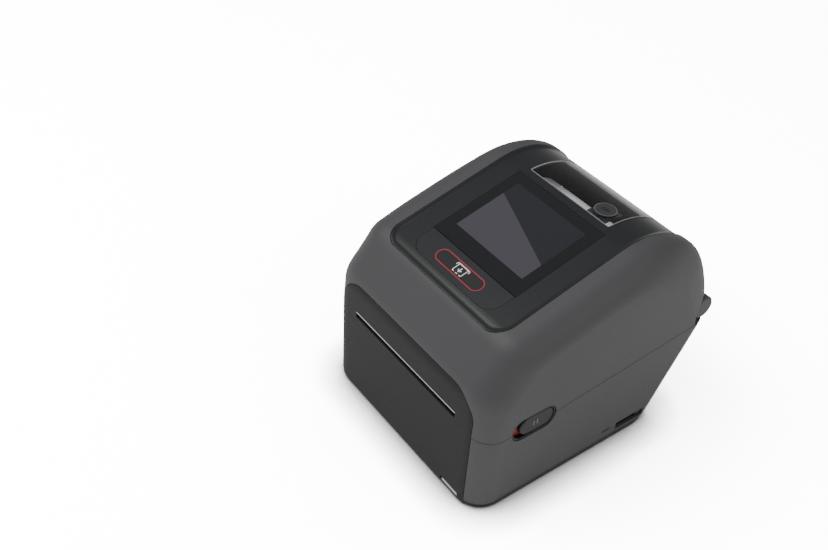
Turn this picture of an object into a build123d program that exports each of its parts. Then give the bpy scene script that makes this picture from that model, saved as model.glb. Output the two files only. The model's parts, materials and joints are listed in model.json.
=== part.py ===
"""Desktop label printer with a clamshell cover, a media bay, a platen drive and a touch display.

Millimetres. +Z is up, -Y is the front where labels come out, +X is the right-hand side.
The origin lies on the table under the middle of the printer.
"""


from build123d import *
import math
import os

os.makedirs("parts", exist_ok=True)

# ---------------------------------------------------------------- driving dimensions
HALF_WIDTH = 89.5          # outer skin, middle plane to side
FRONT_Y = -110.0           # outermost front face
REAR_Y = 110.0             # outermost rear of the cover
FLANK_RADIUS = 22.0        # rounding between the side skins and the rest
WALL = 2.5                 # moulded shell thickness
SEAM_GAP = 0.4             # parting gap between cover and base
TOP_SLOPE = 14.67          # slope of the display plane, degrees
SKIN_ABOVE_PANEL = 1.5     # the inset panel lies this far under the rim

DISPLAY_Y = -42.3          # front edge of the visible screen
DISPLAY_Z = 148.6
HINGE_Y = 99.0             # cover hinge axis
HINGE_Z = 92.0
PLATEN_Y = -95.0           # platen axis
PLATEN_Z = 70.0
PLATEN_RADIUS = 7.0
ROLL_Y = 38.0              # label roll axis
ROLL_Z = 95.7
ROLL_RADIUS = 49.0
ROLL_HALF_WIDTH = 54.0
CORE_BORE = 12.7
LATCH_Y = -65.0            # middle of the latch recess
LATCH_Z = 70.5
BEZEL_HALF_WIDTH = 76.0
BEZEL_TOP = 105.0
BEZEL_BOTTOM = 4.0
SLOT_HALF_WIDTH = 59.0
SLOT_LOW = 75.0
SLOT_HIGH = 79.3
WINDOW_HALF_WIDTH = 41.5
WINDOW_FRONT = 27.3
WINDOW_REAR = 80.0
PANEL_HALF_WIDTH = 64.0
PANEL_FRONT = -85.0
PANEL_BOTTOM = 104.5       # lower edge of the inset panel at the back
RUNNING = 0.05             # radial clearance of shafts and pins that turn
SNUG = 0.02                # radial gap round a pin that is fixed in its hole

PLINTH_TOP = 6.0           # black plinth's height at the front
PLINTH_REAR_TOP = 17.0     # and at the back
PLINTH_REAR_Y = 64.0
TRAY_FLOOR = 22.2          # upper face of the media tray's floor
BOARD_TOP = 8.6            # upper face of the main board

# The display plane: x to the right, y up the slope, z out of the glass.
DISPLAY = Plane(
    origin=(0, DISPLAY_Y, DISPLAY_Z),
    x_dir=(1, 0, 0),
    z_dir=(0, -math.sin(math.radians(TOP_SLOPE)), math.cos(math.radians(TOP_SLOPE))),
)


def side_plane(x):
    """Plane parallel to the side skins at this x; its x and y run along Y and Z."""
    return Plane.YZ.offset(x)


def level(z):
    """Horizontal plane at height z."""
    return Plane.XY.offset(z)


def front_plane(y):
    """Plane facing the front at this y; its x and y run along X and Z."""
    return Plane.XZ.offset(-y)


def save(part, name):
    """Label one finished piece and write its STEP file."""
    part.label = name
    export_step(part, f"parts/{name}.step")


# ---------------------------------------------------------------- outer form
RIM_SLOPE = math.tan(math.radians(TOP_SLOPE))
RIM_AT_DISPLAY = DISPLAY_Z + SKIN_ABOVE_PANEL
CHIN_ANGLE = 52.0          # slope of the chin under the display panel, degrees
CHIN_RADIUS = 28.0         # between the front and the chin
BROW_Y = -84.5             # where the chin and the rim would meet in a corner
BROW_RADIUS = 24.0
DOME_START_Y = 18.0
CROWN_RADIUS = 71.0        # over the roll, from the rim's slope down to CROWN_END
CROWN_END = 62.0           # slope of the back where the crown ends, degrees
SKIN_BOTTOM = 0.8
REAR_TURN_RADIUS = 26.0
REAR_SLANT = 27.0          # the base leans in under the rear of the cover, degrees


def rim_height(y):
    """Height of the straight stretch of the top rim."""
    return RIM_AT_DISPLAY + (y - DISPLAY_Y) * RIM_SLOPE


def side_profile(inset):
    """Side outline of the whole printer, pulled in by inset on every edge but the floor."""
    slope = math.radians(TOP_SLOPE)
    chin_slope = math.radians(CHIN_ANGLE)
    rear_slant = math.radians(REAR_SLANT)
    crown_end = math.radians(CROWN_END)
    brow_shift = inset * (1 / math.cos(slope) - 1 / math.cos(chin_slope))
    brow_y = BROW_Y + brow_shift / (math.tan(slope) - math.tan(chin_slope))
    brow_z = rim_height(brow_y) - inset / math.cos(slope)
    foot_z = brow_z - (brow_y - FRONT_Y - inset) * math.tan(chin_slope)
    dome_start = (
        DOME_START_Y + inset * math.sin(slope),
        rim_height(DOME_START_Y) - inset * math.cos(slope),
    )
    crown_end_y = DOME_START_Y + CROWN_RADIUS * (math.sin(slope) + math.sin(crown_end))
    back_radius = (REAR_Y - crown_end_y) / (1 - math.sin(crown_end))
    with BuildSketch(Plane.YZ) as outline:
        with BuildLine():
            front = FilletPolyline(
                (FRONT_Y + inset, SKIN_BOTTOM), (FRONT_Y + inset, foot_z), (brow_y, brow_z), dome_start,
                radius=[CHIN_RADIUS - inset, BROW_RADIUS - inset],
            )
            heading = (math.cos(slope), math.sin(slope))
            crown = JernArc(dome_start, heading, CROWN_RADIUS - inset, -(TOP_SLOPE + CROWN_END))
            back = JernArc(crown @ 1, crown % 1, back_radius - inset, CROWN_END - 90)
            turn = JernArc(back @ 1, (0, -1), REAR_TURN_RADIUS - inset, -REAR_SLANT)
            drop = (turn @ 1).Y - SKIN_BOTTOM
            rear = Line(turn @ 1, ((turn @ 1).X - drop * math.tan(rear_slant), SKIN_BOTTOM))
            Line(rear @ 1, front @ 0)
        make_face()
    return outline.sketch


def envelope(inset):
    """Solid inside the outer skin, pulled in by inset all round."""
    profile = side_profile(inset)
    with BuildPart() as body:
        extrude(profile, amount=HALF_WIDTH - inset, both=True)
        flank_edges = []
        for side in body.faces().filter_by(Axis.X):
            floor_edge = side.edges().sort_by(Axis.Z)[0]
            flank_edges += [edge for edge in side.edges() if edge.center() != floor_edge.center()]
        fillet(flank_edges, FLANK_RADIUS - inset)
    return body.part


# ---------------------------------------------------------------- small building steps
def cut_or_join(profile, depth, mode):
    """Extrude a finished sketch into the open part."""
    extrude(profile.sketch, amount=depth, mode=mode)


def brick(x, y, z, mode=Mode.ADD):
    """Block between the given x, y and z limits."""
    with BuildSketch(level(z[0])) as foot:
        with Locations(((x[0] + x[1]) / 2, (y[0] + y[1]) / 2)):
            Rectangle(x[1] - x[0], y[1] - y[0])
    cut_or_join(foot, z[1] - z[0], mode)


def rod_x(y, z, radius, x, mode=Mode.ADD):
    """Round bar along X, centred on this y and z."""
    with BuildSketch(side_plane(x[0])) as disc:
        with Locations((y, z)):
            Circle(radius)
    cut_or_join(disc, x[1] - x[0], mode)


def rod_y(x, z, radius, y, mode=Mode.ADD):
    """Round bar along Y, centred on this x and z."""
    with BuildSketch(front_plane(y[1])) as disc:
        with Locations((x, z)):
            Circle(radius)
    cut_or_join(disc, y[1] - y[0], mode)


def rod_z(x, y, radius, z, mode=Mode.ADD):
    """Round post along Z, centred on this x and y."""
    with BuildSketch(level(z[0])) as disc:
        with Locations((x, y)):
            Circle(radius)
    cut_or_join(disc, z[1] - z[0], mode)


def slab(points, x, mode=Mode.ADD):
    """Plate standing across X, with its outline given as (y, z) points."""
    with BuildSketch(side_plane(x[0])) as outline:
        with BuildLine():
            Polyline(*points, close=True)
        make_face()
    cut_or_join(outline, x[1] - x[0], mode)


def oval_x(y, z, length, height, x, mode=Mode.ADD):
    """Plate with round ends lying along Y."""
    with BuildSketch(side_plane(x[0])) as outline:
        with Locations((y, z)):
            SlotOverall(length, height)
    cut_or_join(outline, x[1] - x[0], mode)


def on_display(depth):
    """Plane parallel to the glass, this far above it (negative is inside)."""
    return DISPLAY.offset(depth)


def display_brick(x, up, z, mode=Mode.ADD, front_corner=0):
    """Block lying along the display plane; up runs up the slope, z out of the glass."""
    with BuildSketch(on_display(z[0])) as foot:
        with Locations(((x[0] + x[1]) / 2, (up[0] + up[1]) / 2)):
            Rectangle(x[1] - x[0], up[1] - up[0])
        if front_corner:
            fillet(foot.vertices().sort_by(Axis.Y)[:2], front_corner)
    cut_or_join(foot, z[1] - z[0], mode)


def display_oval(up, length, height, z, mode=Mode.ADD):
    """Plate with round ends, centred across the display plane."""
    with BuildSketch(on_display(z[0])) as outline:
        with Locations((0, up)):
            SlotOverall(length, height)
    cut_or_join(outline, z[1] - z[0], mode)


def display_post(x, up, radius, z, mode=Mode.ADD):
    """Round post standing on the display plane."""
    with BuildSketch(on_display(z[0])) as disc:
        with Locations((x, up)):
            Circle(radius)
    cut_or_join(disc, z[1] - z[0], mode)


def up_slope(y):
    """Distance up the display plane of the point at this y."""
    return (y - DISPLAY_Y) / math.cos(math.radians(TOP_SLOPE))


def mirrored(x):
    """The same x limits on the right and on the left."""
    return [x, (-x[1], -x[0])]


# ---------------------------------------------------------------- zones shared by the shells
OUTER = envelope(0)
INNER = envelope(WALL)
SEAM = [(-130, 73.6), (-98, 69.2), (-40, 71.2), (86, 82.8), (130, 82.8)]
FAR = 140.0
EAR_X = (76.5, 80.0)       # hinge ears on the base, outside the cover's knuckles
KNUCKLE_X = (69.5, 75.0)
BAND_HALF = 75.5           # the cover's lower rear band ends here, beside the hinge caps
BAND_RADIUS = 16.0         # the band's lower edge is round about the hinge
BAND_CLEARANCE = 0.6
CAP_RADIUS = 9.4
CAP_X = (80.2, 86.2)
PIN_RADIUS = 3.0
BEZEL_CORNER = 22.0
PANEL_CORNER = 14.0
PANEL_REAR_CORNER = 10.0
LATCH_LENGTH = 39.0
LATCH_HEIGHT = 20.0
DOME_SPLIT_Y = 70.0        # the inset panel faces up before this and back after it

LEFT_PLINTH_LINE = [(-FAR, PLINTH_TOP), (FRONT_Y, PLINTH_TOP), (PLINTH_REAR_Y, PLINTH_REAR_TOP)]
RIGHT_PLINTH_LINE = [(-FAR, PLINTH_TOP), (55, PLINTH_TOP + 1), (PLINTH_REAR_Y, PLINTH_REAR_TOP)]

with BuildPart() as base_zone:
    low_left = LEFT_PLINTH_LINE + [(FAR, PLINTH_REAR_TOP)]
    low_right = RIGHT_PLINTH_LINE + [(FAR, PLINTH_REAR_TOP)]
    seam_down = [(y, z - SEAM_GAP) for y, z in reversed(SEAM)]
    slab(low_left + seam_down, (-100, 0))
    slab(low_right + seam_down, (0, 100))
    rod_x(HINGE_Y, HINGE_Z, BAND_RADIUS + BAND_CLEARANCE, (-EAR_X[0], EAR_X[0]), Mode.SUBTRACT)
    for x in mirrored((EAR_X[0], 100)):
        rod_x(HINGE_Y, HINGE_Z, 12.8, x, Mode.SUBTRACT)

with BuildPart() as cover_zone:
    slab(SEAM + [(FAR, 200), (-FAR, 200)], (-100, 100))
    for x in mirrored((BAND_HALF, 100)):
        brick(x, (86, FAR), (60, 93), Mode.SUBTRACT)
        rod_x(HINGE_Y, HINGE_Z, CAP_RADIUS + 1, x, Mode.SUBTRACT)
    rod_x(HINGE_Y, HINGE_Z, BAND_RADIUS, (-BAND_HALF, BAND_HALF))


def bezel_prism(gap):
    """Front opening of the shells, wider than the bezel by gap."""
    with BuildPart() as prism:
        with BuildSketch(front_plane(-100)) as outline:
            with Locations((0, (BEZEL_TOP + gap + BEZEL_BOTTOM) / 2)):
                Rectangle(2 * (BEZEL_HALF_WIDTH + gap), BEZEL_TOP + gap - BEZEL_BOTTOM)
            fillet(outline.vertices().sort_by(Axis.Y)[-2:], BEZEL_CORNER + gap)
        extrude(amount=14)
    return prism.part


def panel_prism(gap):
    """Region of the inset panel: seen from above at the front, and from behind at the back."""
    half = PANEL_HALF_WIDTH + gap
    with BuildPart() as prism:
        with BuildSketch(level(90)) as plan:
            with Locations((0, (PANEL_FRONT - gap + DOME_SPLIT_Y) / 2)):
                Rectangle(2 * half, DOME_SPLIT_Y - PANEL_FRONT + gap)
            fillet(plan.vertices().sort_by(Axis.Y)[:2], PANEL_CORNER + gap)
        extrude(amount=100)
        with BuildSketch(front_plane(130)) as rear:
            with Locations((0, (PANEL_BOTTOM - gap + 190) / 2)):
                Rectangle(2 * half, 190 - PANEL_BOTTOM + gap)
            fillet(rear.vertices().sort_by(Axis.Y)[:2], PANEL_REAR_CORNER + gap)
        extrude(amount=130 - DOME_SPLIT_Y)
    return prism.part


# ---------------------------------------------------------------- base: shells and feet
BOSS_X = 78.0
BOSS_YS = (-84.0, 40.0)
RECESS_HALF = 60.0         # rear recess that the sockets sit in
RECESS_Y = 61.5
RECESS_TOP = 26.0
SIDE_SLOT_Y = (24.6, 53.0)
SIDE_SLOT_Z = (8.5, 15.5)
EAR_RADIUS = 8.5
SCREW_RADIUS = 1.5

with BuildPart() as inside_base:
    for x in mirrored((EAR_X[0], 89)):
        brick(x, (84, HINGE_Y), (62, 79))
    brick((-RECESS_HALF - 2, RECESS_HALF + 2), (RECESS_Y - 2, 90), (RECESS_TOP, RECESS_TOP + 2))
    for x in mirrored((RECESS_HALF, RECESS_HALF + 2)):
        brick(x, (RECESS_Y - 2, 90), (PLINTH_REAR_TOP, RECESS_TOP))
    for x in mirrored((RECESS_HALF, 89)):
        brick(x, (PLINTH_REAR_Y - 0.5, 90), (PLINTH_REAR_TOP, PLINTH_REAR_TOP + 2))
    for x in mirrored((BOSS_X, 88.5)):
        for y in BOSS_YS:
            brick(x, (y - 1, y + 1), (18, 24))
    add(envelope(1.0), mode=Mode.INTERSECT)

with BuildPart() as base_case:
    add(OUTER)
    add(INNER, mode=Mode.SUBTRACT)
    add(base_zone.part, mode=Mode.INTERSECT)
    add(bezel_prism(SEAM_GAP), mode=Mode.SUBTRACT)
    brick((-BEZEL_HALF_WIDTH, BEZEL_HALF_WIDTH), (-112, -103), (0, 20), Mode.SUBTRACT)
    brick((-RECESS_HALF, RECESS_HALF), (RECESS_Y, 115), (0, RECESS_TOP), Mode.SUBTRACT)
    add(inside_base.part)
    for side in (-1, 1):
        for y in BOSS_YS:
            rod_z(side * BOSS_X, y, 3.6, (5.6, 24))
            rod_z(side * BOSS_X, y, SCREW_RADIUS, (5, 22), Mode.SUBTRACT)
    for x in mirrored(EAR_X):
        slab([(90.5, 64), (HINGE_Y, 64), (HINGE_Y, HINGE_Z), (91, HINGE_Z)], x)
        rod_x(HINGE_Y, HINGE_Z, EAR_RADIUS, x)
        rod_x(HINGE_Y, HINGE_Z, PIN_RADIUS + SNUG, x, Mode.SUBTRACT)
    for x in mirrored((80, 91)):
        oval_x(LATCH_Y, LATCH_Z, LATCH_LENGTH + 0.4, LATCH_HEIGHT + 0.4, x, Mode.SUBTRACT)
    brick((86, 91), SIDE_SLOT_Y, SIDE_SLOT_Z, Mode.SUBTRACT)
    brick((86, 91), (10, 18), (13.2, 14.6), Mode.SUBTRACT)
save(base_case.part, "base_case")

PLINTH_INNER_X = 82.0
with BuildPart() as plinth_zone:
    below = [(PLINTH_REAR_Y, -1), (-FAR, -1)]
    slab(LEFT_PLINTH_LINE + below, (-100, 0))
    slab(RIGHT_PLINTH_LINE + below, (0, 100))


def rounded_plate(half, y, z, radius):
    """Plate with rounded corners, across the middle plane."""
    with BuildPart() as plate:
        brick((-half, half), y, z)
        fillet(plate.edges().filter_by(Axis.Z), radius)
    return plate.part


plinth_inside = rounded_plate(PLINTH_INNER_X, (-104, 58.5), (-1, 30), 15)
with BuildPart() as plinth:
    add(envelope(1.0))
    add(plinth_zone.part, mode=Mode.INTERSECT)
    add(plinth_inside, mode=Mode.SUBTRACT)
    brick((-BEZEL_HALF_WIDTH - 1, BEZEL_HALF_WIDTH + 1), (-120, -100), (3.6, 20), Mode.SUBTRACT)
    brick((-RECESS_HALF, RECESS_HALF), (50, 70), (5.5, 30), Mode.SUBTRACT)
save(plinth.part, "plinth")

PLATE_Z = (3.0, 5.5)
FEET_RADIUS = 9.0
FEET = [(68, -92), (68, 46)]
STANDOFFS = [(-56, -24), (24, -24), (-56, 34), (24, 34)]
BOARD_Z = (7.0, BOARD_TOP)
bottom_plate = rounded_plate(81.6, (-103.6, 58.1), PLATE_Z, 14.6)
with BuildPart() as bottom_cover:
    add(bottom_plate)
    for x, y in STANDOFFS:
        rod_z(x, y, 2.6, (PLATE_Z[1], BOARD_Z[0]))
    for side in (-1, 1):
        for y in BOSS_YS:
            rod_z(side * BOSS_X, y, SCREW_RADIUS + 0.2, (2, 6), Mode.SUBTRACT)
            rod_z(side * BOSS_X, y, 3.1, (2, 4.2), Mode.SUBTRACT)
save(bottom_cover.part, "bottom_cover")

with BuildPart() as case_screws:
    for side in (-1, 1):
        for y in BOSS_YS:
            rod_z(side * BOSS_X, y, SCREW_RADIUS - 0.02, (4.2, 18))
            rod_z(side * BOSS_X, y, 2.9, (3.2, 4.2))
save(case_screws.part, "case_screws")

with BuildPart() as rubber_feet:
    for side in (-1, 1):
        for x, y in FEET:
            rod_z(side * x, y, FEET_RADIUS, (0, PLATE_Z[0]))
    chamfer(rubber_feet.faces().filter_by(Axis.Z).group_by(Axis.Z)[0].edges(), 0.6)
save(rubber_feet.part, "rubber_feet")

# ---------------------------------------------------------------- base: front
NOTCH_X = (51.0, 71.0)     # service notch at the bezel's lower right corner
TEAR_BAR_TOP = SLOT_HIGH + 1.0
with BuildPart() as front_bezel:
    add(OUTER)
    add(INNER, mode=Mode.SUBTRACT)
    add(bezel_prism(0), mode=Mode.INTERSECT)
    brick((-SLOT_HALF_WIDTH, SLOT_HALF_WIDTH), (-112, -104), (SLOT_LOW, TEAR_BAR_TOP), Mode.SUBTRACT)
    brick(NOTCH_X, (-112, -104), (3, 7.2), Mode.SUBTRACT)
    brick((-70, 50), (FRONT_Y + WALL, -101), (5.6, 7.6))
save(front_bezel.part, "front_bezel")

with BuildPart() as tear_bar:
    brick((-58.9, 58.9), (FRONT_Y - 0.0, -106.4), (SLOT_HIGH + 0.05, TEAR_BAR_TOP - 0.05))
    brick((-58.9, 58.9), (-107.4, -106.4), (TEAR_BAR_TOP - 0.05, TEAR_BAR_TOP + 4))
save(tear_bar.part, "tear_bar")

with BuildPart() as bezel_catch:
    brick((NOTCH_X[0] + 1.5, NOTCH_X[1] - 1.5), (-109.4, -107.6), (3.7, 6.2))
    brick((NOTCH_X[0] + 1.5, NOTCH_X[1] - 1.5), (-107.6, -103.6), (3.7, 4.9))
save(bezel_catch.part, "bezel_catch")

# ---------------------------------------------------------------- base: media bay
with BuildPart() as media_tray:
    brick((-74, 74), (-44, 58), (TRAY_FLOOR - 2, TRAY_FLOOR))
    for x in mirrored((72, 74)):
        slab([(-44, 20.2), (58, 20.2), (80, 40), (88, 64), (-44, 64)], x)
        rod_x(ROLL_Y, 25.2, 2.0, x, Mode.SUBTRACT)
    brick((-74, 74), (-44, -42), (TRAY_FLOOR, 55))
    brick((-74, 74), (56, 58), (TRAY_FLOOR, 29.5))
save(media_tray.part, "media_tray")

ROD_Z = 25.2
ROD_RADIUS = 2.0
with BuildPart() as guide_rod:
    rod_x(ROLL_Y, ROD_Z, ROD_RADIUS, (-74, 74))
save(guide_rod.part, "guide_rod")

HUB_RADIUS = 12.2
GUIDE_X = (56.5, 60.0)
for side, x in zip(("right", "left"), mirrored(GUIDE_X)):
    foot = (40, 60) if side == "right" else (-60, -40)
    hub = (44, 56.5) if side == "right" else (-56.5, -44)
    with BuildPart() as media_guide:
        rod_x(ROLL_Y, ROLL_Z, 27, x)
        slab([(28, 22.6), (48, 22.6), (52, ROLL_Z), (24, ROLL_Z)], x)
        brick(foot, (29, 47), (22.6, 28.2))
        rod_x(ROLL_Y, ROD_Z, ROD_RADIUS + RUNNING, (-70, 70), Mode.SUBTRACT)
        rod_x(ROLL_Y, ROLL_Z, HUB_RADIUS, hub)
    save(media_guide.part, f"media_guide_{side}")

with BuildPart() as roll_core:
    rod_x(ROLL_Y, ROLL_Z, 14.9, (-54.5, 54.5))
    rod_x(ROLL_Y, ROLL_Z, CORE_BORE, (-60, 60), Mode.SUBTRACT)
save(roll_core.part, "roll_core")

with BuildPart() as label_roll:
    rod_x(ROLL_Y, ROLL_Z, ROLL_RADIUS, (-ROLL_HALF_WIDTH, ROLL_HALF_WIDTH))
    rod_x(ROLL_Y, ROLL_Z, 14.95, (-60, 60), Mode.SUBTRACT)
save(label_roll.part, "label_roll")

# ---------------------------------------------------------------- base: platen drive
PLATE_X = (62.0, 64.0)     # side plates of the steel drive frame
GEAR_X = (66.0, 71.0)
MODULE = 1.0
PLATEN_TEETH = 18
IDLER_TEETH = 40
PINION_TEETH = 12
IDLER_DIRECTION = -50.0    # from the platen axis, degrees above +Y
MOTOR_DIRECTION = -75.0    # from the idler axis
SHAFT_RADIUS = 3.0
BUSHING_RADIUS = 5.0
POST_RADIUS = 2.0
MOTOR_SHAFT_RADIUS = 2.5
MOTOR_SIZE = 32.0
PRESSURE_ANGLE = math.radians(20)
BACKLASH = 0.16            # shared play between meshing flanks


def spaced(y, z, teeth, direction):
    """Centre of the gear that meshes with these two tooth counts, in this direction."""
    reach = MODULE * sum(teeth) / 2
    angle = math.radians(direction)
    return y + reach * math.cos(angle), z + reach * math.sin(angle)


def meshing_phase(phase, teeth, mate_teeth, direction):
    """Angle of a tooth of the mate, so that it meshes with a gear whose tooth is at phase."""
    pitch = 360 / teeth
    ahead = (phase - direction) % pitch
    return direction + 180 - ahead * teeth / mate_teeth + 180 / mate_teeth


def flank_angle(radius, base_radius):
    """How far the involute has turned when it reaches this radius."""
    roll = math.sqrt(max((radius / base_radius) ** 2 - 1, 0))
    return roll - math.atan(roll)


def gear_outline(teeth, phase):
    """Involute spur gear outline about the origin, with one tooth centred at phase degrees."""
    pitch_radius = MODULE * teeth / 2
    base_radius = pitch_radius * math.cos(PRESSURE_ANGLE)
    tip_radius = pitch_radius + 0.9 * MODULE
    root_radius = pitch_radius - 1.2 * MODULE
    half_tooth = (math.pi * MODULE / 2 - BACKLASH / 2) / (2 * pitch_radius)
    at_pitch = flank_angle(pitch_radius, base_radius)
    start = max(root_radius, base_radius)
    radii = [start + (tip_radius - start) * step / 4 for step in range(5)]
    rising = [(r, -half_tooth - at_pitch + flank_angle(r, base_radius)) for r in radii]
    if root_radius < start - 0.05:
        rising.insert(0, (root_radius, rising[0][1]))
    tooth = rising + [(r, -angle) for r, angle in reversed(rising)]
    points = []
    for number in range(teeth):
        middle = math.radians(phase) + 2 * math.pi * number / teeth
        points += [(r * math.cos(middle + a), r * math.sin(middle + a)) for r, a in tooth]
    return points


def gear(centre, teeth, phase, bore, x, mode=Mode.ADD):
    """Spur gear across X with a plain bore."""
    outline = [(centre[0] + y, centre[1] + z) for y, z in gear_outline(teeth, phase)]
    slab(outline, x, mode)
    rod_x(*centre, bore, x, Mode.SUBTRACT)


PLATEN_CENTRE = (PLATEN_Y, PLATEN_Z)
IDLER_CENTRE = spaced(*PLATEN_CENTRE, (PLATEN_TEETH, IDLER_TEETH), IDLER_DIRECTION)
PINION_CENTRE = spaced(*IDLER_CENTRE, (IDLER_TEETH, PINION_TEETH), MOTOR_DIRECTION)
IDLER_PHASE = meshing_phase(0, PLATEN_TEETH, IDLER_TEETH, IDLER_DIRECTION)
PINION_PHASE = meshing_phase(IDLER_PHASE, IDLER_TEETH, PINION_TEETH, MOTOR_DIRECTION)

with BuildPart() as platen_frame:
    for x in mirrored(PLATE_X):
        slab([(-104, 8), (-49, 8), (-49, 55), (-78, 76), (-104, 76)], x)
        rod_x(*PLATEN_CENTRE, BUSHING_RADIUS, x, Mode.SUBTRACT)
    brick((-PLATE_X[1], PLATE_X[1]), (-51, -49), (8, 52))
    rod_x(*PINION_CENTRE, 8, PLATE_X, Mode.SUBTRACT)
    rod_x(*IDLER_CENTRE, POST_RADIUS + SNUG, PLATE_X, Mode.SUBTRACT)
save(platen_frame.part, "platen_frame")

with BuildPart() as platen_bushings:
    for x in mirrored((60.5, 64.8)):
        rod_x(*PLATEN_CENTRE, BUSHING_RADIUS, x)
        rod_x(*PLATEN_CENTRE, SHAFT_RADIUS + RUNNING, x, Mode.SUBTRACT)
save(platen_bushings.part, "platen_bushings")

with BuildPart() as platen_shaft:
    rod_x(*PLATEN_CENTRE, SHAFT_RADIUS, (-66, GEAR_X[1] + 1))
save(platen_shaft.part, "platen_shaft")

with BuildPart() as platen_roller:
    rod_x(*PLATEN_CENTRE, PLATEN_RADIUS, (-56, 56))
    rod_x(*PLATEN_CENTRE, SHAFT_RADIUS, (-56, 56), Mode.SUBTRACT)
save(platen_roller.part, "platen_roller")

with BuildPart() as platen_gear:
    gear(PLATEN_CENTRE, PLATEN_TEETH, 0, SHAFT_RADIUS + SNUG, GEAR_X)
save(platen_gear.part, "platen_gear")

with BuildPart() as idler_gear:
    gear(IDLER_CENTRE, IDLER_TEETH, IDLER_PHASE, POST_RADIUS + RUNNING, GEAR_X)
save(idler_gear.part, "idler_gear")

with BuildPart() as idler_post:
    rod_x(*IDLER_CENTRE, POST_RADIUS, (PLATE_X[0], GEAR_X[1] + 1.2))
save(idler_post.part, "idler_post")

with BuildPart() as motor_pinion:
    slab(
        [(PINION_CENTRE[0] + y, PINION_CENTRE[1] + z) for y, z in gear_outline(PINION_TEETH, PINION_PHASE)],
        GEAR_X,
    )
    rod_x(*PINION_CENTRE, MOTOR_SHAFT_RADIUS, (54, GEAR_X[0]))
save(motor_pinion.part, "motor_pinion")

with BuildPart() as stepper_motor:
    half = MOTOR_SIZE / 2
    brick(
        (38, PLATE_X[0]),
        (PINION_CENTRE[0] - half, PINION_CENTRE[0] + half),
        (PINION_CENTRE[1] - half, PINION_CENTRE[1] + half),
    )
    chamfer(stepper_motor.edges().filter_by(Axis.X), 4)
    rod_x(*PINION_CENTRE, MOTOR_SHAFT_RADIUS + RUNNING, (53.5, PLATE_X[0]), Mode.SUBTRACT)
save(stepper_motor.part, "stepper_motor")

with BuildPart() as label_guide_bar:
    brick((-61.8, 61.8), (-80, -70), (66, 69))
    brick((-61.8, 61.8), (-70, -68), (60, 69))
    brick((-8, 8), (-79, -73), (69, 71.5))
save(label_guide_bar.part, "label_guide_bar")

# ---------------------------------------------------------------- base: electronics and sockets
with BuildPart() as main_board:
    brick((-62, 50), (-32, 58.2), BOARD_Z)
save(main_board.part, "main_board")

with BuildPart() as board_components:
    for x, y, long, wide, tall in [
        (-20, 6, 18, 18, 1.6), (8, 8, 12, 12, 1.4), (-44, 8, 10, 16, 2.2), (38, -14, 12, 12, 8), (38, 6, 10, 10, 9),
    ]:
        brick((x - long / 2, x + long / 2), (y - wide / 2, y + wide / 2), (BOARD_TOP, BOARD_TOP + tall))
save(board_components.part, "board_components")

SOCKET_REAR = 62.0
INLET_X = 40.0
INLET_Z = 14.4
INLET_BORE = 2.8
INLET_DEPTH = 9.0
SOCKETS = {
    "power_inlet": ((34, 46), (46, SOCKET_REAR), (BOARD_TOP, 20.0)),
    "usb_device_port": ((10, 22), (44, SOCKET_REAR), (BOARD_TOP, 19.4)),
    "ethernet_port": ((-20, -3), (40, SOCKET_REAR), (BOARD_TOP, 20.0)),
    "usb_host_port": ((-50, -34.8), (44, SOCKET_REAR), (BOARD_TOP, 16.2)),
}
CAVITIES = {
    "usb_device_port": ((12, 20), (53, SOCKET_REAR + 1), (10.2, 17.8)),
    "ethernet_port": ((-17.5, -5.5), (49, SOCKET_REAR + 1), (10.4, 18.2)),
    "usb_host_port": ((-48.9, -35.9), (52, SOCKET_REAR + 1), (9.9, 14.9)),
}
for name, (x, y, z) in SOCKETS.items():
    with BuildPart() as socket:
        brick(x, y, z)
        if name in CAVITIES:
            brick(*CAVITIES[name], Mode.SUBTRACT)
        else:
            rod_y(INLET_X, INLET_Z, INLET_BORE, (SOCKET_REAR - INLET_DEPTH, SOCKET_REAR + 1), Mode.SUBTRACT)
    save(socket.part, name)

with BuildPart() as port_panel:
    brick((-RECESS_HALF + 0.3, RECESS_HALF - 0.3), (RECESS_Y - 2, RECESS_Y), (5.7, RECESS_TOP - 0.2))
    for x, y, z in SOCKETS.values():
        brick((x[0] - 0.2, x[1] + 0.2), (58, 63), (z[0] - 4, z[1] + 0.2), Mode.SUBTRACT)
save(port_panel.part, "port_panel")

SHROUD_DEPTH = 86.0
BUTTON_SLOT_Y = (46.0, 53.0)
with BuildPart() as side_shroud:
    brick((84.5, 86.95), (23.4, 54.4), (7.4, 16.8))
    add(envelope(WALL + 0.05), mode=Mode.INTERSECT)
    brick((SHROUD_DEPTH, 88), SIDE_SLOT_Y, SIDE_SLOT_Z, Mode.SUBTRACT)
    brick((84, 87), BUTTON_SLOT_Y, SIDE_SLOT_Z, Mode.SUBTRACT)
save(side_shroud.part, "side_shroud")

with BuildPart() as power_button:
    brick((83.2, 88.0), (BUTTON_SLOT_Y[0] + 0.3, BUTTON_SLOT_Y[1] - 0.3), (SIDE_SLOT_Z[0] + 0.3, SIDE_SLOT_Z[1] - 0.3))
    chamfer(power_button.faces().sort_by(Axis.X)[-1].edges(), 0.5)
save(power_button.part, "power_button")

# ---------------------------------------------------------------- base: hinge pins and latches
with BuildPart() as hinge_pins:
    for pin, cap in zip(mirrored((KNUCKLE_X[0] - 0.5, CAP_X[0])), mirrored(CAP_X)):
        rod_x(HINGE_Y, HINGE_Z, PIN_RADIUS, pin)
        rod_x(HINGE_Y, HINGE_Z, CAP_RADIUS, cap)
    chamfer(hinge_pins.faces().filter_by(Axis.X).sort_by(Axis.X)[-1].edges(), 1.2)
    chamfer(hinge_pins.faces().filter_by(Axis.X).sort_by(Axis.X)[0].edges(), 1.2)
save(hinge_pins.part, "hinge_pins")

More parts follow.
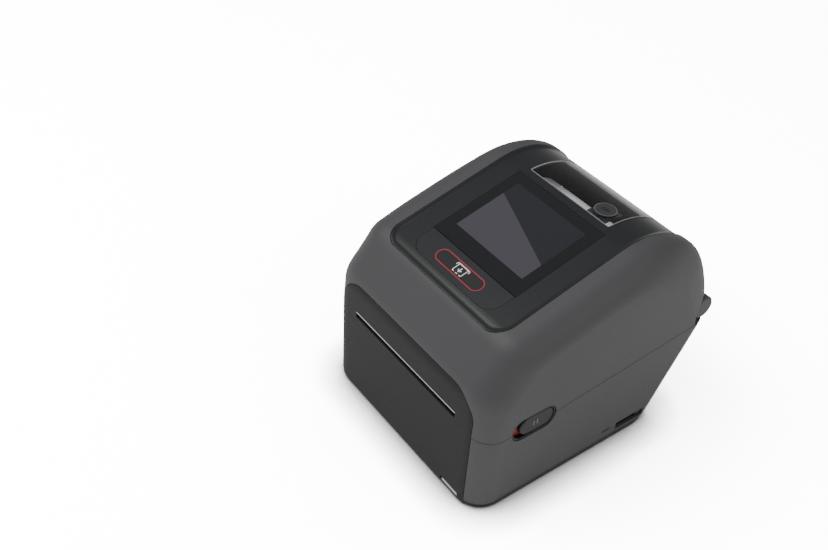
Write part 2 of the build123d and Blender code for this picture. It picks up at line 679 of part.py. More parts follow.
POCKET_LENGTH = 36.0
POCKET_HEIGHT = 17.0
HOUSING_X = (84.0, 88.9)
POCKET_FLOOR = 85.2
SLIDER_LENGTH = 30.0
SLIDER_HEIGHT = 16.4
SLIDER_Y = LATCH_Y + (POCKET_LENGTH - SLIDER_LENGTH) / 2 - 0.3   # parked against the rear end
with BuildPart() as latch_housings:
    for side in (1, -1):
        wall, floor, flange, stem = [
            tuple(sorted((side * a, side * b)))
            for a, b in (HOUSING_X, (POCKET_FLOOR, 90), (84.0, 86.95), (83, 86))
        ]
        oval_x(LATCH_Y, LATCH_Z, LATCH_LENGTH, LATCH_HEIGHT, wall)
        brick(flange, (LATCH_Y - 22, LATCH_Y + 22), (57, 69.6))
        oval_x(LATCH_Y, LATCH_Z, POCKET_LENGTH, POCKET_HEIGHT, floor, Mode.SUBTRACT)
        brick(stem, (LATCH_Y - 6.5, LATCH_Y + 6.5), (67.5, 73.5), Mode.SUBTRACT)
save(latch_housings.part, "latch_housings")

with BuildPart() as latch_accents:
    for side in (1, -1):
        plate = tuple(sorted((side * POCKET_FLOOR, side * (POCKET_FLOOR + 0.3))))
        oval_x(LATCH_Y, LATCH_Z, POCKET_LENGTH - 0.4, POCKET_HEIGHT - 0.4, plate)
    brick((-90, 90), (LATCH_Y - 9, LATCH_Y + 30), (50, 90), Mode.SUBTRACT)
save(latch_accents.part, "latch_accents")

STRIKER_Y = -58.0
STRIKER_Z = 82.0
for name, side in (("right", 1), ("left", -1)):
    knob, stem, blade = [
        tuple(sorted((side * a, side * b))) for a, b in ((85.8, 88.9), (81.2, 85.8), (78.6, 81.2))
    ]
    with BuildPart() as latch_slider:
        oval_x(SLIDER_Y, LATCH_Z, SLIDER_LENGTH, SLIDER_HEIGHT, knob)
        outer_rim = latch_slider.faces().filter_by(Axis.X).sort_by(Axis.X)[-1 if side > 0 else 0].edges()
        fillet(outer_rim, 1.2)
        brick(stem, (SLIDER_Y - 3, SLIDER_Y + 3), (68, 73))
    save(latch_slider.part, f"latch_slider_{name}")
    with BuildPart() as latch_hook:
        slab([(-72, 62), (-62, 62), (-62, 80), (-60.2, 82), (-60.2, 85), (-64, 86), (-68, 80), (-72, 78)], blade)
    save(latch_hook.part, f"latch_hook_{name}")

# ---------------------------------------------------------------- cover: shell, panel and glass
with BuildPart() as upper_cover:
    add(OUTER)
    add(INNER, mode=Mode.SUBTRACT)
    add(cover_zone.part, mode=Mode.INTERSECT)
    add(bezel_prism(SEAM_GAP), mode=Mode.SUBTRACT)
    add(panel_prism(0.3), mode=Mode.SUBTRACT)
    for x in mirrored((80, 91)):
        oval_x(LATCH_Y, LATCH_Z, LATCH_LENGTH + 0.6, LATCH_HEIGHT + 0.6, x, Mode.SUBTRACT)
    with BuildPart(mode=Mode.PRIVATE) as knuckles:
        for x in mirrored(KNUCKLE_X):
            rod_x(HINGE_Y, HINGE_Z, 7.5, x)
            brick(x, (HINGE_Y, 109), (85, 101))
        add(envelope(1.0), mode=Mode.INTERSECT)
    add(knuckles.part)
    for x in mirrored((KNUCKLE_X[0] - 1, KNUCKLE_X[1] + 1)):
        rod_x(HINGE_Y, HINGE_Z, PIN_RADIUS + RUNNING, x, Mode.SUBTRACT)
save(upper_cover.part, "upper_cover")

GLASS_HALF = 44.8
GLASS_UP = (up_slope(-55.0), up_slope(21.6))
BAR_HALF = 44.0
BAR_UP = (up_slope(-76.5), up_slope(-55.4))
PANEL_THICK = 2.5
FEED_UP = up_slope(-66.4)
RING_SIZE = (48.2, 12.4)
BUTTON_SIZE = (45.0, 9.2)
LINER_POSTS = [(52, -30), (52, 50)]
LINER_Z = (-6.4, -4.4)

with BuildPart() as top_panel:
    add(envelope(SKIN_ABOVE_PANEL))
    add(envelope(SKIN_ABOVE_PANEL + PANEL_THICK), mode=Mode.SUBTRACT)
    add(panel_prism(0), mode=Mode.INTERSECT)
    glass_hole = (GLASS_UP[0] - 0.2, GLASS_UP[1] + 0.15)
    display_brick((-GLASS_HALF - 0.15, GLASS_HALF + 0.15), glass_hole, (-8, 4), Mode.SUBTRACT)
    bar_hole = (BAR_UP[0] - 0.15, BAR_UP[1] + 1)
    display_brick((-BAR_HALF - 0.15, BAR_HALF + 0.15), bar_hole, (-8, 4), Mode.SUBTRACT, 12)
    window_hole = (WINDOW_FRONT, WINDOW_REAR)
    brick((-WINDOW_HALF_WIDTH, WINDOW_HALF_WIDTH), window_hole, (130, 180), Mode.SUBTRACT)
    for side in (-1, 1):
        for x, up in LINER_POSTS:
            display_post(side * x, up, 3.2, (LINER_Z[1], -PANEL_THICK + 0.1))
            display_post(side * x, up, 1.3, (LINER_Z[1], -PANEL_THICK + 0.1), Mode.SUBTRACT)
save(top_panel.part, "top_panel")

with BuildPart() as touch_glass:
    display_brick((-GLASS_HALF, GLASS_HALF), GLASS_UP, (-1.9, 0))
    chamfer(touch_glass.faces().sort_by(Axis.Z)[-1].edges(), 0.3)
save(touch_glass.part, "touch_glass")

with BuildPart() as control_bar:
    display_brick((-BAR_HALF, BAR_HALF), BAR_UP, (-1.9, -0.05), front_corner=12)
    display_oval(FEED_UP, RING_SIZE[0] + 0.2, RING_SIZE[1] + 0.2, (-3, 1), Mode.SUBTRACT)
save(control_bar.part, "control_bar")

with BuildPart() as feed_ring:
    display_oval(FEED_UP, *RING_SIZE, (-1.9, 0.1))
    display_oval(FEED_UP, BUTTON_SIZE[0] + 0.6, BUTTON_SIZE[1] + 0.6, (-3, 1), Mode.SUBTRACT)
save(feed_ring.part, "feed_ring")

with BuildPart() as feed_button:
    display_oval(FEED_UP, *BUTTON_SIZE, (-3.4, 0.2))
save(feed_button.part, "feed_button")

with BuildPart() as cover_liner:
    display_brick((-60, 60), (up_slope(-82), up_slope(19)), LINER_Z)
    display_brick((-39, 39), (-3, 60.5), (-8, -3), Mode.SUBTRACT)
    display_brick((-30, 30), (FEED_UP - 6, FEED_UP + 6), (-8, -3), Mode.SUBTRACT)
    for side in (-1, 1):
        for x, up in LINER_POSTS:
            display_post(side * x, up, 1.6, (-8, -3), Mode.SUBTRACT)
save(cover_liner.part, "cover_liner")

with BuildPart() as liner_screws:
    for side in (-1, 1):
        for x, up in LINER_POSTS:
            display_post(side * x, up, 2.6, (LINER_Z[0] - 1.5, LINER_Z[0]))
            display_post(side * x, up, 1.28, (LINER_Z[0], -2.6))
save(liner_screws.part, "liner_screws")

with BuildPart() as lcd_module:
    display_brick((-38.5, 38.5), (-2.5, 60), (-5.6, -2.0))
save(lcd_module.part, "lcd_module")

with BuildPart() as display_board:
    display_brick((-46, 46), (-6, 62), (-9.2, -7.6))
    for x in (-42.5, 42.5):
        for up in (0, 56):
            display_post(x, up, 2.2, (-7.6, LINER_Z[0]))
save(display_board.part, "display_board")

with BuildPart() as button_board:
    display_brick((-36, 36), (FEED_UP - 8, FEED_UP + 8), (-8.0, LINER_Z[0]))
    display_brick((-3, 3), (FEED_UP - 3, FEED_UP + 3), (LINER_Z[0], -4.8))
save(button_board.part, "button_board")

# ---------------------------------------------------------------- cover: window over the roll
WINDOW_THICK = 1.8
BADGE_X = 25.5
BADGE_Y = 40.3
BADGE_RADIUS = 8.4
with BuildPart() as window:
    add(envelope(SKIN_ABOVE_PANEL + 0.1))
    add(envelope(SKIN_ABOVE_PANEL + 0.1 + WINDOW_THICK), mode=Mode.SUBTRACT)
    half = WINDOW_HALF_WIDTH - 0.15
    brick((-half, half), (WINDOW_FRONT + 0.15, WINDOW_REAR - 0.15), (130, 180), Mode.INTERSECT)
save(window.part, "window")

with BuildPart() as window_badge:
    rod_z(BADGE_X, BADGE_Y, BADGE_RADIUS, (150, 175))
    add(envelope(SKIN_ABOVE_PANEL - 0.3), mode=Mode.INTERSECT)
    add(envelope(SKIN_ABOVE_PANEL + 0.1), mode=Mode.SUBTRACT)
save(window_badge.part, "window_badge")

with BuildPart() as window_tab:
    add(envelope(SKIN_ABOVE_PANEL + 0.1 + WINDOW_THICK))
    add(envelope(SKIN_ABOVE_PANEL + 1.1 + WINDOW_THICK), mode=Mode.SUBTRACT)
    brick((BADGE_X - 9, BADGE_X + 9), (WINDOW_FRONT + 0.4, BADGE_Y + 9), (130, 180), Mode.INTERSECT)
save(window_tab.part, "window_tab")

# ---------------------------------------------------------------- cover: printhead
PIVOT_Y = -78.0
PIVOT_Z = 92.0
PIVOT_RADIUS = 1.5
LUG_X = (57.5, 60.5)
BRACKET_EAR_X = (52.5, 55.5)
BEAM_X = 86.9
SHELF_Z = (108.0, 110.0)
with BuildPart() as printhead_beam:
    brick((-BEAM_X, BEAM_X), (-82, -76), (97, SHELF_Z[1]))
    brick((-60, 60), (-100, -82), SHELF_Z)
    for x in mirrored(LUG_X):
        slab([(-82, 97), (-82, 88), (-74, 88), (-76, 97)], x)
        rod_x(PIVOT_Y, PIVOT_Z, PIVOT_RADIUS, x, Mode.SUBTRACT)
save(printhead_beam.part, "printhead_beam")

with BuildPart() as printhead_pivot:
    rod_x(PIVOT_Y, PIVOT_Z, PIVOT_RADIUS, (-61, 61))
save(printhead_pivot.part, "printhead_pivot")

BRACKET_Z = (92.6, 94.2)
with BuildPart() as printhead_bracket:
    brick((-56, 56), (-104, -81), BRACKET_Z)
    for x in mirrored(BRACKET_EAR_X):
        slab([(-86, 94.2), (-86, 92.6), (-80, 88.6), (-76, 88.6), (-74.5, 92), (-76, 95.4), (-80, 95.4)], x)
    rod_x(PIVOT_Y, PIVOT_Z, PIVOT_RADIUS + RUNNING, (-60, 60), Mode.SUBTRACT)
save(printhead_bracket.part, "printhead_bracket")

HEAD_Z = PLATEN_Z + PLATEN_RADIUS + 0.35   # the printing face, just clear of the roller
with BuildPart() as printhead:
    brick((-55, 55), (-104, -86), (HEAD_Z, HEAD_Z + 1.6))
    brick((-55, 55), (-103, -88), (HEAD_Z + 1.6, BRACKET_Z[0]))
    for step in range(4):
        y = -101.0 + 3.4 * step
        brick((-56, 56), (y, y + 1.6), (HEAD_Z + 6, BRACKET_Z[0] - 3), Mode.SUBTRACT)
save(printhead.part, "printhead")

SPRING_RADIUS = 3.6
WIRE = 0.45
springs = []
for x in (-30, 30):
    with BuildPart() as spring:
        with BuildLine(level(BRACKET_Z[1] + WIRE)):
            coil = Helix(pitch=2.575, height=SHELF_Z[0] - BRACKET_Z[1] - 2 * WIRE, radius=SPRING_RADIUS, center=(x, -94, 0))
        with BuildSketch(Plane(coil @ 0, z_dir=coil % 0)):
            Circle(WIRE)
        sweep()
    springs.append(spring.part)
with BuildPart() as printhead_springs:
    for one in springs:
        add(one)
save(printhead_springs.part, "printhead_springs")

with BuildPart() as cover_strikers:
    for x in mirrored((78.6, 87.0)):
        rod_x(STRIKER_Y, STRIKER_Z, 1.5, x)
save(cover_strikers.part, "cover_strikers")
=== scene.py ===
"""Desktop label printer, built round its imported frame: sculpted shells, printed marks and finishes.

Metres, +Z up, -Y is the front, +X is the printer's right-hand side.
"""

import json
import math

import bpy
import numpy as np
from mathutils import Matrix, Vector

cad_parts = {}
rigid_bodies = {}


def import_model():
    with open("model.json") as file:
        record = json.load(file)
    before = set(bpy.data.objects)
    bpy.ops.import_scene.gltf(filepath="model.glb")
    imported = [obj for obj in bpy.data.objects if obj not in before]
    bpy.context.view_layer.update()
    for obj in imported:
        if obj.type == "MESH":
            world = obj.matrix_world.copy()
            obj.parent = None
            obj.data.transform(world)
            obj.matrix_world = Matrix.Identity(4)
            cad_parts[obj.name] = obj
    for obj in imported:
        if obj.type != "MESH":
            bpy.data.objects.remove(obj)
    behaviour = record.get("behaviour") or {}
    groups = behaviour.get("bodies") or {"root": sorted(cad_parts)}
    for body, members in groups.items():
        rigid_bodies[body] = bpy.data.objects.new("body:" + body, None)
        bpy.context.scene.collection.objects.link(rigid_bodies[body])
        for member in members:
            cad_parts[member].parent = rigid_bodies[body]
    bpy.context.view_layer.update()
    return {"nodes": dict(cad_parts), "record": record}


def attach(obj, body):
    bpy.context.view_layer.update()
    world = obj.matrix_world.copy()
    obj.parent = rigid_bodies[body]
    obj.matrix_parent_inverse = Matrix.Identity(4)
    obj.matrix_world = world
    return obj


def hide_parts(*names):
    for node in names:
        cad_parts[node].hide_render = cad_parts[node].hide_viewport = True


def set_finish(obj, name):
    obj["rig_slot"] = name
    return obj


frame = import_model()
nodes = frame["nodes"]

# ---------------------------------------------------------------- small tools for meshes


def mesh_object(name, points, faces, smooth=True):
    """An object at the origin from points in millimetres and faces of any length."""
    mesh = bpy.data.meshes.new(name)
    mesh.from_pydata((np.asarray(points, float) / 1000).tolist(), [], [list(map(int, f)) for f in faces])
    mesh.validate()
    made = bpy.data.objects.new(name, mesh)
    bpy.context.scene.collection.objects.link(made)
    if smooth:
        mesh.polygons.foreach_set("use_smooth", [True] * len(mesh.polygons))
    return made


def prism(name, outline, low, high, axis):
    """A closed bar whose outline lies across the given axis (0 for X, 1 for Y, 2 for Z)."""
    outline = np.asarray(outline, float)
    count = len(outline)
    others = [a for a in range(3) if a != axis]
    points = np.zeros((2 * count, 3))
    for end, place in enumerate((low, high)):
        points[end * count:(end + 1) * count, others[0]] = outline[:, 0]
        points[end * count:(end + 1) * count, others[1]] = outline[:, 1]
        points[end * count:(end + 1) * count, axis] = place
    following = (np.arange(count) + 1) % count
    faces = [[i, following[i], count + following[i], count + i] for i in range(count)]
    faces += [list(range(count - 1, -1, -1)), list(range(count, 2 * count))]
    made = mesh_object(name, points, faces, smooth=False)
    face_outwards(made)
    return made


def face_outwards(made):
    """Turns every face of a closed mesh outwards, by the sign of its volume."""
    mesh = made.data
    mesh.calc_loop_triangles()
    places = np.array([v.co[:] for v in mesh.vertices])
    corners = places[[t.vertices[:] for t in mesh.loop_triangles]]
    volume = np.einsum("ij,ij->i", corners[:, 0], np.cross(corners[:, 1], corners[:, 2])).sum()
    if volume < 0:
        mesh.flip_normals()


def circle(y, z, radius, count=96):
    """Points of a circle."""
    turn = np.linspace(0, 2 * math.pi, count, endpoint=False)
    return np.stack([y + radius * np.cos(turn), z + radius * np.sin(turn)], 1)


def rounded_box(low, high, radii, steps=14):
    """Outline of a rectangle whose corners, from low-left round to the upper left, have these radii."""
    corners = [(low[0], low[1], 180), (high[0], low[1], 270), (high[0], high[1], 0), (low[0], high[1], 90)]
    points = []
    for (x, z, start), radius in zip(corners, radii):
        if radius == 0:
            points.append((x, z))
            continue
        middle_x = x + radius * (1 if x == low[0] else -1)
        middle_z = z + radius * (1 if z == low[1] else -1)
        for step in range(steps + 1):
            turn = math.radians(start + 90 * step / steps)
            points.append((middle_x + radius * math.cos(turn), middle_z + radius * math.sin(turn)))
    return np.array(points)


def carve(target, tool, operation):
    """target becomes its difference, intersection or union with tool, and the tool goes."""
    change = target.modifiers.new("carve", "BOOLEAN")
    change.operation = operation
    change.object = tool
    change.solver = "MANIFOLD"
    graph = bpy.context.evaluated_depsgraph_get()
    result = bpy.data.meshes.new_from_object(target.evaluated_get(graph))
    target.modifiers.clear()
    target.data = result
    bpy.data.objects.remove(tool)
    return target


def smooth_by_angle(made, degrees):
    """Shades smoothly, but for edges that turn by more than this angle."""
    made.data.polygons.foreach_set("use_smooth", [True] * len(made.data.polygons))
    made.data.set_sharp_from_angle(angle=math.radians(degrees))


# ---------------------------------------------------------------- body form: side outline and shoulders
HALF_WIDTH = 89.5
TOP_SLOPE = 14.67
HINGE = (99.0, 92.0)
SEAM = [(-130, 73.6), (-98, 69.2), (-40, 71.2), (86, 82.8), (130, 82.8)]
LATCH = (-65.0, 70.5)


def walk(moves, start=(-110.0, -16.0), heading=90.0, spacing=1.6):
    """Points and headings along runs, ("line", length), and right-hand bends, ("bend", radius, degrees)."""
    place, points, headings = np.array(start, float), [], []
    for move in moves:
        if move[0] == "line":
            steps = max(2, int(move[1] / spacing))
            direction = np.array([math.cos(math.radians(heading)), math.sin(math.radians(heading))])
            for step in range(steps):
                points.append(place + direction * move[1] * step / steps)
                headings.append(heading)
            place = place + direction * move[1]
        else:
            radius, turned = move[1:]
            steps = max(4, int(math.radians(turned) * radius / spacing))
            right = np.array([math.sin(math.radians(heading)), -math.cos(math.radians(heading))])
            middle = place + right * radius
            for step in range(steps + 1):
                now = heading - turned * step / steps
                out = -np.array([math.sin(math.radians(now)), -math.cos(math.radians(now))])
                if step < steps:
                    points.append(middle + out * radius)
                    headings.append(now)
            place = middle + out * radius
            heading -= turned
    points.append(place)
    headings.append(heading)
    return np.array(points), np.radians(headings)


OUTLINE, HEADINGS = walk([
    ("line", 112.77), ("bend", 28.0, 38.0), ("line", 23.67), ("bend", 24.0, 37.33), ("line", 97.85),
    ("bend", 71.0, 76.67), ("bend", 96.8, 28.0), ("bend", 26.0, 27.0), ("line", 102.0),
])
TRAVEL = np.concatenate([[0], np.cumsum(np.linalg.norm(np.diff(OUTLINE, axis=0), axis=1))])


def travel_at(y, z):
    """How far along the outline its nearest point to (y, z) lies."""
    return TRAVEL[np.argmin(np.hypot(OUTLINE[:, 0] - y, OUTLINE[:, 1] - z))]


# place on the outline (y, z), shoulder width in x, shoulder depth along the outline's normal, crease angle
SHOULDER = [
    (-110, -16, 19, 19, 90), (-110, 78, 19, 19, 90), (-106, 108, 24, 23, 90), (-92, 128, 25, 25, 90),
    (-79, 141, 24, 21, 88), (-55, 147, 21, 18.5, 86), (-20, 156, 19.5, 18, 84), (5, 162, 19.5, 18.5, 80),
    (25, 167, 19.5, 21, 72), (50, 167, 19.5, 27.5, 64), (75, 156, 20, 32, 60), (98, 132, 21, 30.5, 64),
    (108, 104, 22, 26, 78), (109, 88, 22, 23, 90), (98, 62, 22, 22, 90), (60, -16, 22, 22, 90),
]
STATIONS = [travel_at(row[0], row[1]) for row in SHOULDER]


def eased(column):
    """One column of the shoulder table along the whole outline, joined by smooth steps."""
    values = np.interp(TRAVEL, STATIONS, [row[column] for row in SHOULDER])
    reach = np.exp(-0.5 * (np.arange(-9, 10) / 4.0) ** 2)
    padded_values = np.concatenate([np.full(9, values[0]), values, np.full(9, values[-1])])
    return np.convolve(padded_values, reach / reach.sum(), mode="valid")


def body_solid(name, inset, bend_steps=18):
    """The closed outer form pulled in by inset.

    Across the width, the form is flat to the shoulder. There x grows by width * sin(turn) / sin(crease),
    while the surface sinks along the outline's inward normal by depth * (1 - cos(turn)) / (1 - cos(crease)).
    """
    inward = np.stack([np.sin(HEADINGS), -np.cos(HEADINGS)], 1)
    edge = OUTLINE + inset * inward
    width, depth, crease = eased(2), eased(3), np.radians(eased(4))
    turns = np.linspace(0, 1, bend_steps + 1)[None, :] * crease[:, None]
    reach = np.sin(turns) / np.sin(crease)[:, None]
    across = (HALF_WIDTH - width)[:, None] + (width - inset)[:, None] * reach
    sink = (depth - inset)[:, None] * (1 - np.cos(turns)) / (1 - np.cos(crease))[:, None]
    flat = np.linspace(-1, 1, 13)[1:-1][None, :] * (HALF_WIDTH - width)[:, None]
    x = np.concatenate([-across[:, ::-1], flat, across], 1)
    down = np.concatenate([sink[:, ::-1], np.zeros_like(flat), sink], 1)
    points = np.empty(x.shape + (3,))
    points[..., 0] = x
    points[..., 1:] = edge[:, None, :] + down[..., None] * inward[:, None, :]
    rows, columns = x.shape
    number = np.arange(rows * columns).reshape(rows, columns)
    quads = np.stack([number[:-1, :-1], number[:-1, 1:], number[1:, 1:], number[1:, :-1]], -1)
    faces = quads.reshape(-1, 4).tolist()
    faces.append(number[:, 0].tolist())
    faces.append(number[::-1, -1].tolist())
    faces.append(number[0, ::-1].tolist() + number[-1].tolist())
    made = mesh_object(name, points.reshape(-1, 3), faces)
    face_outwards(made)
    return made


def skin(name, thickness):
    """Hollow shell of the whole outer form."""
    return carve(body_solid(name, 0.0), body_solid("core", thickness), "DIFFERENCE")


def bezel_zone(gap):
    """Bar through the front, in the bezel's outline grown by gap."""
    outline = rounded_box((-76 - gap, 3.8), (76 + gap, 105 + gap), (0, 0, 22 + gap, 22 + gap))
    return prism("bezel zone", outline, -120, -99, 1)


def panel_zone(gap):
    """Region of the inset panel: rounded at the front seen from above, and at the back seen from behind."""
    half = 64.0 + gap
    front = prism("panel front", rounded_box((-half, -85 - gap), (half, 70), (14, 14, 0, 0)), 90, 200, 2)
    rear = prism("panel rear", rounded_box((-half, 104.5 - gap), (half, 190), (10, 10, 0, 0)), 69.9, 130, 1)
    return carve(front, rear, "UNION")


# ---------------------------------------------------------------- cover shell
cover_shell = skin("cover_shell", 2.4)
above_seam = prism("above seam", SEAM + [(140, 210), (-140, 210)], -100, 100, 0)
carve(above_seam, prism("rear band", circle(*HINGE, 16.0), -75.5, 75.5, 0), "UNION")
for low, high in ((75.5, 101), (-101, -75.5)):
    carve(above_seam, prism("cap notch", circle(*HINGE, 10.8), low, high, 0), "DIFFERENCE")
    carve(above_seam, prism("corner", [(88, 60), (140, 60), (140, 91), (88, 91)], low, high, 0), "DIFFERENCE")
carve(cover_shell, above_seam, "INTERSECT")
carve(cover_shell, bezel_zone(0.4), "DIFFERENCE")
carve(cover_shell, panel_zone(0.3), "DIFFERENCE")
half_long, half_high = 19.7, 10.2
latch_outline = rounded_box(
    (LATCH[0] - half_long, LATCH[1] - half_high), (LATCH[0] + half_long, LATCH[1] + half_high), (10.19,) * 4
)
for low, high in ((80, 95), (-95, -80)):
    carve(cover_shell, prism("latch hole", latch_outline, low, high, 0), "DIFFERENCE")
smooth_by_angle(cover_shell, 24)
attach(cover_shell, "cover")
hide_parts("upper_cover")
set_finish(cover_shell, "body_shell")

# ---------------------------------------------------------------- base shell
base_shell = skin("base_shell", 2.4)
seam_down = [(y, z - 0.4) for y, z in reversed(SEAM)]
left_line = [(-140, 6), (-110, 6), (64, 17), (140, 17)]
right_line = [(-140, 6), (55, 7), (64, 17), (140, 17)]
between = prism("left band", left_line + seam_down, -100, 0.01, 0)
carve(between, prism("right band", right_line + seam_down, 0, 100, 0), "UNION")
carve(between, prism("rear gap", circle(*HINGE, 16.6), -76.5, 76.5, 0), "DIFFERENCE")
for low, high in ((76.5, 101), (-101, -76.5)):
    carve(between, prism("cap gap", circle(*HINGE, 11.0), low, high, 0), "DIFFERENCE")
carve(base_shell, between, "INTERSECT")
carve(base_shell, bezel_zone(0.4), "DIFFERENCE")
recess = [(61.5, -10), (120, -10), (120, 26), (61.5, 26)]
carve(base_shell, prism("port recess", recess, -60, 60, 0), "DIFFERENCE")
for low, high in ((80, 95), (-95, -80)):
    carve(base_shell, prism("latch hole", latch_outline, low, high, 0), "DIFFERENCE")
wide_slot = rounded_box((24.6, 8.5), (53, 15.5), (0.8,) * 4)
narrow_slot = rounded_box((10, 13.2), (18, 14.6), (0.6,) * 4)
for outline in (wide_slot, narrow_slot):
    carve(base_shell, prism("side slot", outline, 80, 95, 0), "DIFFERENCE")
smooth_by_angle(base_shell, 24)
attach(base_shell, "base")
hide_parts("base_case")
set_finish(base_shell, "body_shell")

# ---------------------------------------------------------------- front bezel
bezel = skin("bezel", 2.5)
carve(bezel, bezel_zone(0.0), "INTERSECT")
carve(bezel, prism("slot", [(-59, 75), (59, 75), (59, 80.3), (-59, 80.3)], -120, -100, 1), "DIFFERENCE")
carve(bezel, prism("catch notch", [(51, 0), (71, 0), (71, 7.2), (51, 7.2)], -120, -100, 1), "DIFFERENCE")
smooth_by_angle(bezel, 24)
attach(bezel, "base")
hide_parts("front_bezel")
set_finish(bezel, "dark_bezel")

# ---------------------------------------------------------------- hinge ears and knuckles
for side in (1, -1):
    for name, x, radius, foot, body in (
        ("hinge_ear", (76.5, 80.0), 8.5, [(90.5, 66), (100, 66), (107.5, 92), (90.5, 92)], "base"),
        ("hinge_knuckle", (69.5, 75.0), 7.5, [(96, 85), (106, 85), (106, 100), (96, 100)], "cover"),
    ):
        low, high = sorted((side * x[0], side * x[1]))
        lobe = prism(name, circle(*HINGE, radius), low, high, 0)
        carve(lobe, prism("foot", foot, low + 0.01, high - 0.01, 0), "UNION")
        carve(lobe, body_solid("trim", 1.0), "INTERSECT")
        carve(lobe, prism("pin hole", circle(*HINGE, 3.1), low - 1, high + 1, 0), "DIFFERENCE")
        lobe.name = f"{name}_{'right' if side > 0 else 'left'}"
        smooth_by_angle(lobe, 24)
        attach(lobe, body)
        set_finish(lobe, "body_shell")

# ---------------------------------------------------------------- rims that follow the top and the back
PEAK = int(np.argmax(OUTLINE[:, 1]))
BACK_END = int(np.argmax(OUTLINE[:, 0]))


def surface_loop(half, front, rear, front_radius, rear_radius, rear_from_above):
    """Closed loop of (x, travel) on the outline surface.

    The front edge is given as y. The rear edge is given as y too if rear_from_above, and as z on the back
    if not.
    """
    def sweep(start, middle, radius):
        turn = np.radians(start + np.linspace(0, 90, 13))
        return np.stack([middle[0] + radius * np.cos(turn), middle[1] + radius * np.sin(turn)], 1)

    top = slice(70, BACK_END)

    def travel_front(y):
        return np.interp(y, OUTLINE[top, 0], TRAVEL[top])

    def travel_rear(z):
        return np.interp(-z, -OUTLINE[PEAK:, 1], TRAVEL[PEAK:])

    right = sweep(270, (half - front_radius, front + front_radius), front_radius)
    left = sweep(180, (-half + front_radius, front + front_radius), front_radius)
    right[:, 1], left[:, 1] = travel_front(right[:, 1]), travel_front(left[:, 1])
    if rear_from_above:
        far_right = sweep(0, (half - rear_radius, rear - rear_radius), rear_radius)
        far_left = sweep(90, (-half + rear_radius, rear - rear_radius), rear_radius)
        far_right[:, 1], far_left[:, 1] = travel_front(far_right[:, 1]), travel_front(far_left[:, 1])
    else:
        far_right = sweep(0, (half - rear_radius, -rear - rear_radius), rear_radius)
        far_left = sweep(90, (-half + rear_radius, -rear - rear_radius), rear_radius)
        far_right[:, 1], far_left[:, 1] = travel_rear(-far_right[:, 1]), travel_rear(-far_left[:, 1])
    parts = [left, right, far_right, far_left]
    loop = []
    for part, following in zip(parts, parts[1:] + parts[:1]):
        loop.append(part)
        loop.append(part[-1] + (following[0] - part[-1]) * np.linspace(0, 1, 62)[1:-1, None])
    return np.concatenate(loop)


def rim(name, outer, inner, section, finish):
    """A closed ring between two surface loops.

    Each section point is (share of the way from outer to inner, depth under the outline surface).
    """
    inward = np.stack([np.sin(HEADINGS), -np.cos(HEADINGS)], 1)
    rings = []
    for share, depth in section:
        loop = outer + (inner - outer) * share
        sunk = OUTLINE + depth * inward
        place = np.stack([np.interp(loop[:, 1], TRAVEL, sunk[:, i]) for i in (0, 1)], 1)
        rings.append(np.concatenate([loop[:, :1], place], 1))
    points = np.stack(rings, 1)
    count, wide = points.shape[:2]
    number = np.arange(count * wide).reshape(count, wide)
    ahead, beside = np.roll(number, -1, 0), np.roll(number, -1, 1)
    faces = np.stack([number, ahead, np.roll(ahead, -1, 1), beside], -1).reshape(-1, 4)
    made = mesh_object(name, points.reshape(-1, 3), faces.tolist())
    face_outwards(made)
    smooth_by_angle(made, 40)
    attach(made, "cover")
    made["finish"] = finish
    return made


lip_outer = surface_loop(64.0, -85.0, 104.5, 14.0, 10.0, False)
lip_inner = surface_loop(60.4, -81.4, 108.1, 10.4, 6.4, False)
slope_down = [(t, 0.12 + 1.32 * (0.5 - 0.5 * math.cos(math.pi * t)) ** 0.8) for t in np.linspace(0, 1, 9)]
rim("panel_lip", lip_outer, lip_inner, slope_down + [(1.0, 2.2), (0.0, 2.2)], "satin_panel")
corner_outer = surface_loop(42.0, 26.9, 80.4, 0.6, 0.6, True)
corner_inner = surface_loop(40.9, 28.0, 79.3, 1.6, 9.4, True)
frame_section = [(0, 1.5), (0, 1.42), (1, 1.42), (1, 2.0), (0, 2.0)]
rim("window_frame", corner_outer, corner_inner, frame_section, "satin_panel")
edge_inner = surface_loop(40.2, 28.7, 78.6, 1.0, 8.8, True)
edge_section = [(0, 1.55), (0.2, 1.3), (0.7, 1.3), (1, 1.5), (1, 2.0), (0, 2.0)]
rim("window_edge", corner_inner, edge_inner, edge_section, "clear_edge")

# ---------------------------------------------------------------- marks on the display plane
SLOPE = math.radians(TOP_SLOPE)
DISPLAY = Matrix((
    (1, 0, 0, 0),
    (0, math.cos(SLOPE), -math.sin(SLOPE), -0.0423),
    (0, math.sin(SLOPE), math.cos(SLOPE), 0.1486),
    (0, 0, 0, 1),
))


def flat_bars(name, plane, bars, bottom, top):
    """Flat bars on a plane, each from one end (x, up) to the other with its width."""
    points, faces = [], []
    for (x0, u0), (x1, u1), width in bars:
        along = np.array([x1 - x0, u1 - u0], float)
        along /= np.linalg.norm(along)
        beside = np.array([-along[1], along[0]]) * width / 2
        ends = [np.array([x0, u0]) - beside, np.array([x1, u1]) - beside]
        ends += [np.array([x1, u1]) + beside, np.array([x0, u0]) + beside]
        start = len(points)
        points += [(*end, bottom) for end in ends] + [(*end, top) for end in ends]
        faces += [[start + i for i in face] for face in (
            (0, 3, 2, 1), (4, 5, 6, 7), (0, 1, 5, 4), (1, 2, 6, 5), (2, 3, 7, 6), (3, 0, 4, 7)
        )]
    placed = [(plane @ Vector((p[0] / 1000, p[1] / 1000, p[2] / 1000))) * 1000 for p in points]
    return mesh_object(name, placed, faces, smooth=False)


